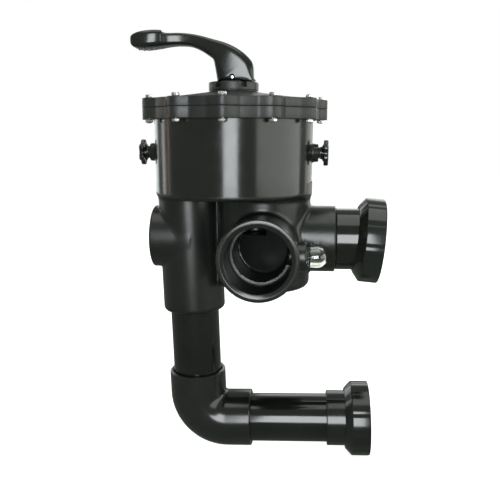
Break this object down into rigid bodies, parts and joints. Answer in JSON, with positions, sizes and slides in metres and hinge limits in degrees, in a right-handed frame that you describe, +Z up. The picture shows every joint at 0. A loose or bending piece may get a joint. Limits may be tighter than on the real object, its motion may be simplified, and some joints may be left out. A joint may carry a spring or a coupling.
{
  "type": "side-mount multiport valve",
  "caption": "Side-mount multiport valve for a pool filter: lever on a bolted lid, hollow body with side ports, a drop leg with an elbow, and union nuts towards the filter.",
  "frame": {"origin": "centre of the sealing face of the upper filter union, where the valve is held by the filter", "axes": "+Z up along the stem and the drop leg, +X out of the upper union towards the filter, -Y out of the front port"},
  "size_m": [0.3163, 0.264, 0.546],
  "materials": {
    "moulded_black": "glossy injection-moulded black plastic",
    "pipe_black": "glossy extruded black plastic",
    "satin_black": "satin glass-filled black plastic",
    "rotor_grey": "satin moulded grey plastic",
    "washer_black": "slippery black plastic",
    "rubber": "matt black rubber",
    "bright_steel": "bright stainless steel",
    "clear_dome": "clear moulded plastic"
  },
  "bodies": {
    "valve": {"valve_body": "moulded_black", "chamber_front": "moulded_black", "chamber_back": "moulded_black", "chamber_left": "moulded_black", "chamber_right": "moulded_black", "front_neck": "moulded_black", "back_neck": "moulded_black", "drop_column": "moulded_black", "lid": "satin_black", "lid_oring": "rubber", "spider_gasket": "rubber", "upper_nipple": "pipe_black", "upper_tailpiece": "moulded_black", "upper_union_oring": "rubber", "down_pipe": "pipe_black", "elbow": "moulded_black", "cross_pipe": "pipe_black", "lower_tailpiece": "moulded_black", "lower_union_oring": "rubber", "sight_glass": "clear_dome", "sight_glass_oring": "rubber", "bolt_01": "bright_steel", "bolt_02": "bright_steel", "bolt_03": "bright_steel", "bolt_04": "bright_steel", "bolt_05": "bright_steel", "bolt_06": "bright_steel", "bolt_07": "bright_steel", "bolt_08": "bright_steel", "bolt_09": "bright_steel", "bolt_10": "bright_steel", "bolt_11": "bright_steel", "bolt_12": "bright_steel", "nut_01": "bright_steel", "nut_02": "bright_steel", "nut_03": "bright_steel", "nut_04": "bright_steel", "nut_05": "bright_steel", "nut_06": "bright_steel", "nut_07": "bright_steel", "nut_08": "bright_steel", "nut_09": "bright_steel", "nut_10": "bright_steel", "nut_11": "bright_steel", "nut_12": "bright_steel"},
    "slip_ring": {"slip_washer": "washer_black"},
    "diverter": {"rotor": "rotor_grey", "stem_oring_1": "rubber", "stem_oring_2": "rubber", "spring": "bright_steel", "spring_washer": "bright_steel", "handle_pin": "bright_steel"},
    "lever": {"handle": "moulded_black"},
    "upper_union_nut": {"upper_nut": "moulded_black"},
    "lower_union_nut": {"lower_nut": "moulded_black"},
    "left_plug": {"gauge_plug_left": "moulded_black", "gauge_plug_oring_left": "rubber"},
    "right_plug": {"gauge_plug_right": "moulded_black", "gauge_plug_oring_right": "rubber"}
  },
  "joints": [
    {"name": "turn", "type": "hinge", "parent": "valve", "child": "slip_ring", "pos_m": [-0.1742, 0, 0.1609], "axis": [0, 0, 1], "continuous": true},
    {"name": "stem_lift", "type": "slide", "parent": "slip_ring", "child": "diverter", "axis": [0, 0, 1], "range_m": [0, 0.008], "stiffness_N_per_m": 8000, "springref_m": -0.01, "deforming": ["spring"]},
    {"name": "handle_tilt", "type": "hinge", "parent": "diverter", "child": "lever", "pos_m": [-0.1742, 0, 0.1985], "axis": [0, -1, 0], "range_deg": [0, 23]},
    {"name": "upper_nut_spin", "type": "hinge", "parent": "valve", "child": "upper_union_nut", "pos_m": [-0.0162, 0, 0], "axis": [0.9966, 0, -0.0819], "continuous": true},
    {"name": "lower_nut_spin", "type": "hinge", "parent": "valve", "child": "lower_union_nut", "pos_m": [-0.02757, 0, -0.24316], "axis": [0.9994, 0, 0.0349], "continuous": true},
    {"name": "left_plug_spin", "type": "hinge", "parent": "valve", "child": "left_plug", "pos_m": [-0.2802, 0, 0.1079], "axis": [-1, 0, 0], "continuous": true},
    {"name": "right_plug_spin", "type": "hinge", "parent": "valve", "child": "right_plug", "pos_m": [-0.0682, 0, 0.1079], "axis": [1, 0, 0], "continuous": true}
  ],
  "couplings": [
    {"joint": "handle_tilt", "follows": "stem_lift", "rad_per_m": 50}
  ]
}
